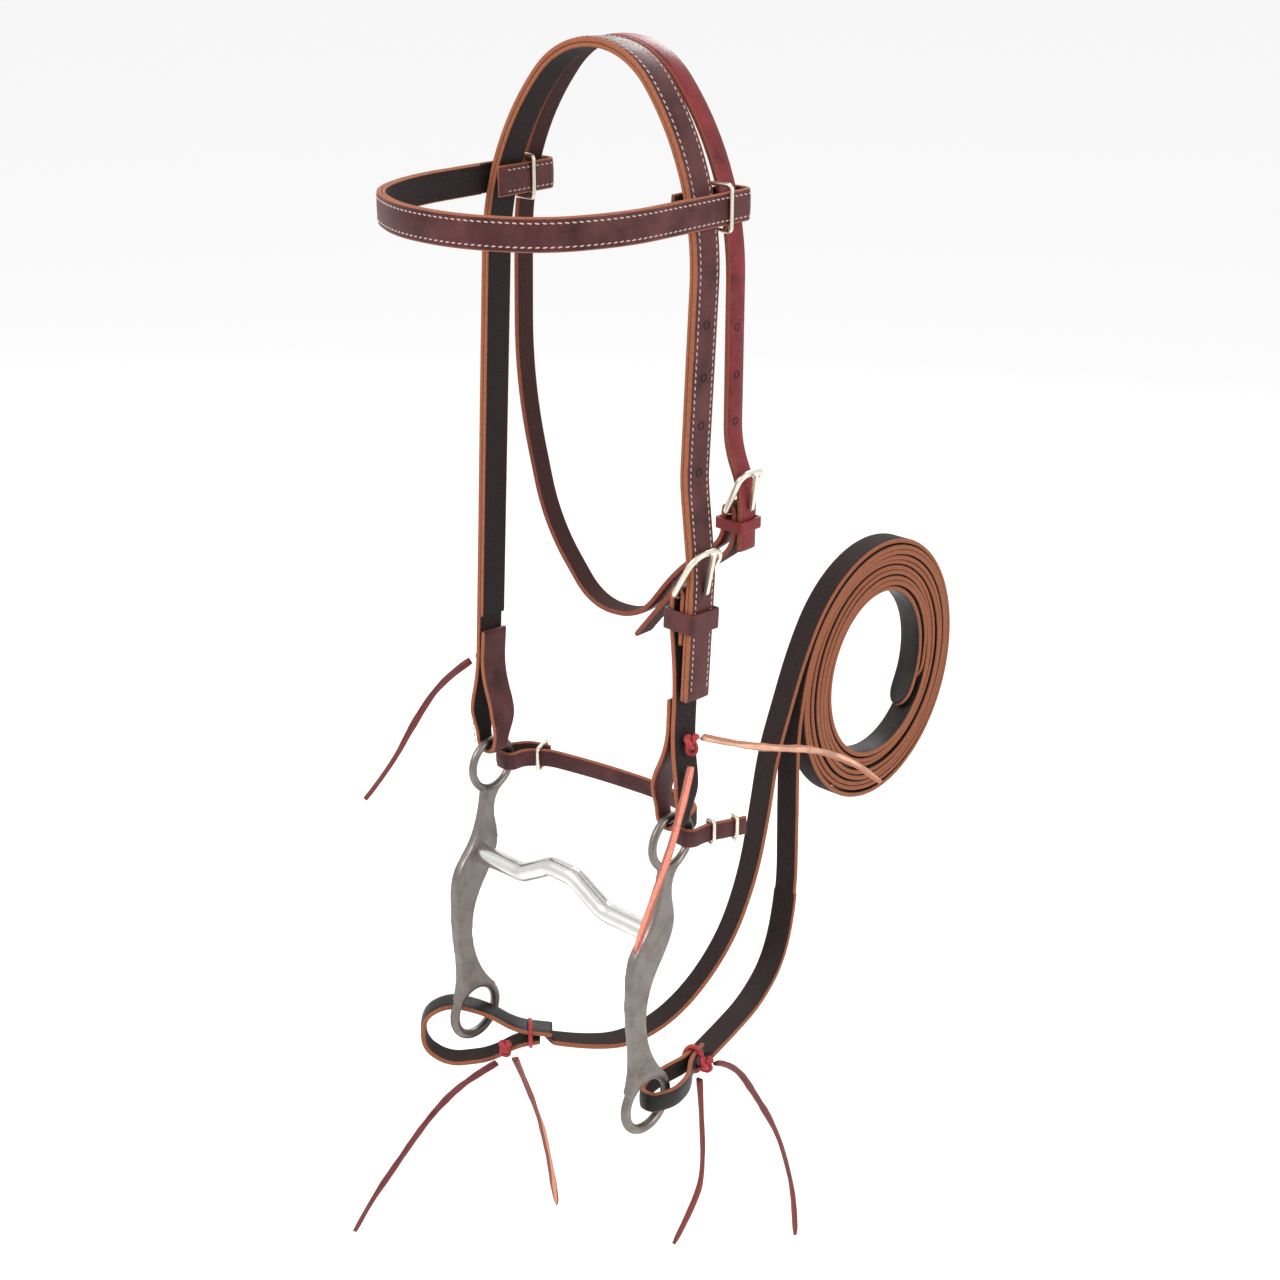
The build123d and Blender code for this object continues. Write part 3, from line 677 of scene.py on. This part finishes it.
FAR_LOOP_AXIS = Vector((-1, 1, 0)).normalized()
strap("far_rein_loop", FAR_LOOP_AXIS, 0.014, 0.003, REIN, crown=0.0003, groove=0.0002)
NEAR_DROP = math.radians(5)
near_heading = (Vector(COIL_SIDE) - Vector((69.5, -28.06))).normalized()
near_along = Vector(
    (near_heading.x * math.cos(NEAR_DROP), near_heading.y * math.cos(NEAR_DROP), -math.sin(NEAR_DROP))
)
NEAR_LOOP_AXIS = Vector((near_heading.y, -near_heading.x, 0)).cross(near_along)
strap("near_rein_loop", NEAR_LOOP_AXIS, 0.012, 0.003, REIN, crown=0.0003, groove=0.0002)

# ---------------------------------------------------------------- stitching
ROW = 0.0061  # from the strap's middle to a row of stitches
BROW_ROW = 0.0054
FAR_END = 0.09  # the stitching stops above the far cheek's fold
stitches(
    "crown_stitching", crown_face, crown_outs, CHEEK_AXIS, (-ROW, ROW), "headstall",
    end=FAR_END,
)
stitches(
    "browband_stitching", brow_face, brow_outs, Z_AXIS, (-BROW_ROW, BROW_ROW), "brow"
)

# ---------------------------------------------------------------- punched adjustment holes
def punched(name, centres, out, along, radius, depth, body):
    """Sunk holes with a turned lip, set in a strap's outer face, coloured near black as painted shade inside
    them.
    """
    verts, faces = [], []
    across = out.cross(along).normalized()
    profile = [(1.35, 0.00002), (1.12, 0.00018), (0.94, 0.00012), (0.86, -0.0001), (0.80, -depth)]
    for centre in centres:
        base = len(verts)
        for share, lift in profile:
            for k in range(24):
                turn = 2 * math.pi * k / 24
                around = along * math.cos(turn) + across * math.sin(turn)
                verts.append(centre + around * radius * share + out * lift)
        for ring in range(len(profile) - 1):
            for k in range(24):
                n = (k + 1) % 24
                a, b = base + ring * 24, base + (ring + 1) * 24
                faces.append((a + k, a + n, b + n, b + k))
        faces.append(tuple(base + (len(profile) - 1) * 24 + k for k in range(24)))
    piece = link_mesh(name, verts, faces, HOLE_SHADE)
    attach(piece, body)
    return piece


def strap_spots(face, outs, heights):
    """Points on a strap's near outer face at given heights, with the outward direction there."""
    near = [(p, o) for p, o in zip(face, outs) if p.x > 0.06 and o.x > 0.5]
    picked = [min(near, key=lambda pair: abs(pair[0].z - height)) for height in heights]
    return [p + o * 0.00034 for p, o in picked], picked[0][1]


CHEEK_HOLES = (-0.1242, -0.1499, -0.175, -0.1972)
THROAT_HOLES = (-0.130, -0.1535, -0.177)
spots, out = strap_spots(crown_face, crown_outs, CHEEK_HOLES)
CHEEK_DOWN = X_AXIS.cross(CHEEK_AXIS)
punched("cheek_billet_holes", spots, out, CHEEK_DOWN, 0.0017, 0.0006, "headstall")
spots, out = strap_spots(throat_face, throat_outs, THROAT_HOLES)
punched("throat_billet_holes", spots, out, Z_AXIS, 0.0015, 0.0006, "headstall")

# ---------------------------------------------------------------- forged shanks
def forged(node, material, voxel, passes):
    """Rounds a CAD solid's edges as forging and polishing leave them."""
    piece = bpy.data.objects.new(f"{node}_forging", NODES[node].data.copy())
    bpy.context.scene.collection.objects.link(piece)
    remesh = piece.modifiers.new("remesh", "REMESH")
    remesh.mode = "VOXEL"
    remesh.voxel_size = voxel
    soften = piece.modifiers.new("soften", "SMOOTH")
    soften.factor = 0.5
    soften.iterations = passes
    bpy.context.view_layer.update()
    solid = bpy.data.meshes.new_from_object(piece.evaluated_get(bpy.context.evaluated_depsgraph_get()))
    piece.modifiers.clear()
    piece.data = solid
    solid.materials.clear()
    solid.materials.append(material)
    solid.polygons.foreach_set("use_smooth", [True] * len(solid.polygons))
    grain_side = solid.attributes.new("face", "FLOAT", "POINT")
    grain_side.data.foreach_set("value", [1.0] * len(solid.vertices))
    return finish_piece(piece, node)


for node in ("near_shank", "far_shank"):
    forged(node, SHANK, 0.0008, 14)
forged("cheek_keeper", BURGUNDY, 0.0005, 5)
forged("throat_keeper", RED, 0.0004, 4)


# ---------------------------------------------------------------- tied knots
def tie(node, wraps):
    """A tied thong: a trefoil lump in the knot's own space, and wraps as (centre, two half axes)."""
    low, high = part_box(node)
    centre, half = (low + high) / 2, (high - low) / 2
    turns = []
    for n in range(96):
        t = 2 * math.pi * n / 96
        turns.append(
            centre
            + Vector(
                (
                    -math.sin(3 * t) * (half.x * 0.75),
                    (math.sin(t) + 2 * math.sin(2 * t)) / 3 * half.y * 0.85,
                    (math.cos(t) - 2 * math.cos(2 * t)) / 3 * half.z * 0.85,
                )
            )
        )
    loops = [turns]
    for middle, one, other in wraps:
        steps = [2 * math.pi * n / 64 for n in range(64)]
        loops.append([middle + one * math.cos(t) + other * math.sin(t) for t in steps])
    verts, faces = [], []
    for loop in loops:
        count = len(loop)
        base = len(verts)
        for n, point in enumerate(loop):
            along = (loop[(n + 1) % count] - loop[n - 1]).normalized()
            outward = point - centre
            outward = (outward - along * outward.dot(along)).normalized()
            across = along.cross(outward)
            for k in range(10):
                turn = 2 * math.pi * k / 10
                swell = 1 + 0.08 * math.sin(n * 0.9)
                wide, deep = across * math.cos(turn) * 0.0019 * swell, outward * math.sin(turn) * 0.0013
                verts.append(point + wide + deep)
        for n in range(count):
            for k in range(10):
                a, b = base + n * 10, base + ((n + 1) % count) * 10
                faces.append((a + k, a + (k + 1) % 10, b + (k + 1) % 10, b + k))
    piece = link_mesh(f"{node}_thong", verts, faces, KNOT)
    attribute = piece.data.attributes.new("face", "FLOAT", "POINT")
    attribute.data.foreach_set("value", [1.0] * len(piece.data.vertices))
    return finish_piece(piece, node)


near_tab = Vector((0.0573, 0.0099, -0.5649))
near_loop_across = Vector((near_heading.y, -near_heading.x, 0))
tie("far_cheek_knot", [])
tie("near_cheek_knot", [])
tie("far_rein_knot", [(Vector((-0.0462, -0.0212, -0.5787)), FAR_LOOP_AXIS * 0.0088, Z_AXIS * 0.0068)])
tie("near_rein_knot", [(near_tab, near_loop_across * 0.0056, near_loop_across.cross(near_along) * 0.0079)])

# ---------------------------------------------------------------- metal that keeps its CAD shape
for node, material in (
    ("mouthpiece", BRIGHT),
    ("cheek_buckle_frame", NICKEL),
    ("cheek_buckle_tongue", NICKEL),
    ("throat_buckle_frame", NICKEL),
    ("throat_buckle_tongue", NICKEL),
    ("near_browband_ring", NICKEL),
    ("far_browband_ring", NICKEL),
    ("far_curb_buckle", NICKEL),
    ("near_curb_buckle", NICKEL),
    ("near_curb_keeper", NICKEL),
):
    for target in NODES[node].material_slots:
        target.material = material

# ---------------------------------------------------------------- stage, light
stage_mat, stage_tree, stage_shader = new_material("studio_white")
stage_shader.inputs["Base Color"].default_value = (0.93, 0.93, 0.93, 1)
stage_shader.inputs["Roughness"].default_value = 0.95
stage_shader.inputs["Specular IOR Level"].default_value = 0.0
FLOOR_Z, FLOOR_REACH = -0.95, 60.0
floor = link_mesh(
    "studio_floor",
    [
        (-FLOOR_REACH, -FLOOR_REACH, FLOOR_Z),
        (FLOOR_REACH, -FLOOR_REACH, FLOOR_Z),
        (FLOOR_REACH, FLOOR_REACH, FLOOR_Z),
        (-FLOOR_REACH, FLOOR_REACH, FLOOR_Z),
    ],
    [(0, 1, 2, 3)],
    stage_mat,
    False,
)

world = bpy.data.worlds.new("studio")
bpy.context.scene.world = world
world.use_nodes = True
world.node_tree.nodes["Background"].inputs["Color"].default_value = (1, 1, 1, 1)
world.node_tree.nodes["Background"].inputs["Strength"].default_value = 1.0


def lamp(name, at, aim, size, power):
    light = bpy.data.lights.new(name, "AREA")
    light.shape = "DISK"
    light.size = size
    light.energy = power
    holder = bpy.data.objects.new(name, light)
    bpy.context.scene.collection.objects.link(holder)
    holder.location = at
    holder.rotation_euler = (Vector(aim) - Vector(at)).to_track_quat("-Z", "Y").to_euler()


lamp("key", (-0.6, -1.5, 1.1), (0, 0, -0.3), 0.9, 22)
lamp("fill", (1.8, 0.3, 0.5), (0, 0, -0.3), 1.2, 14)
lamp("rim", (-0.9, 1.6, 0.9), (0, 0.1, -0.3), 0.8, 14)

bpy.context.scene.view_settings.view_transform = "Standard"
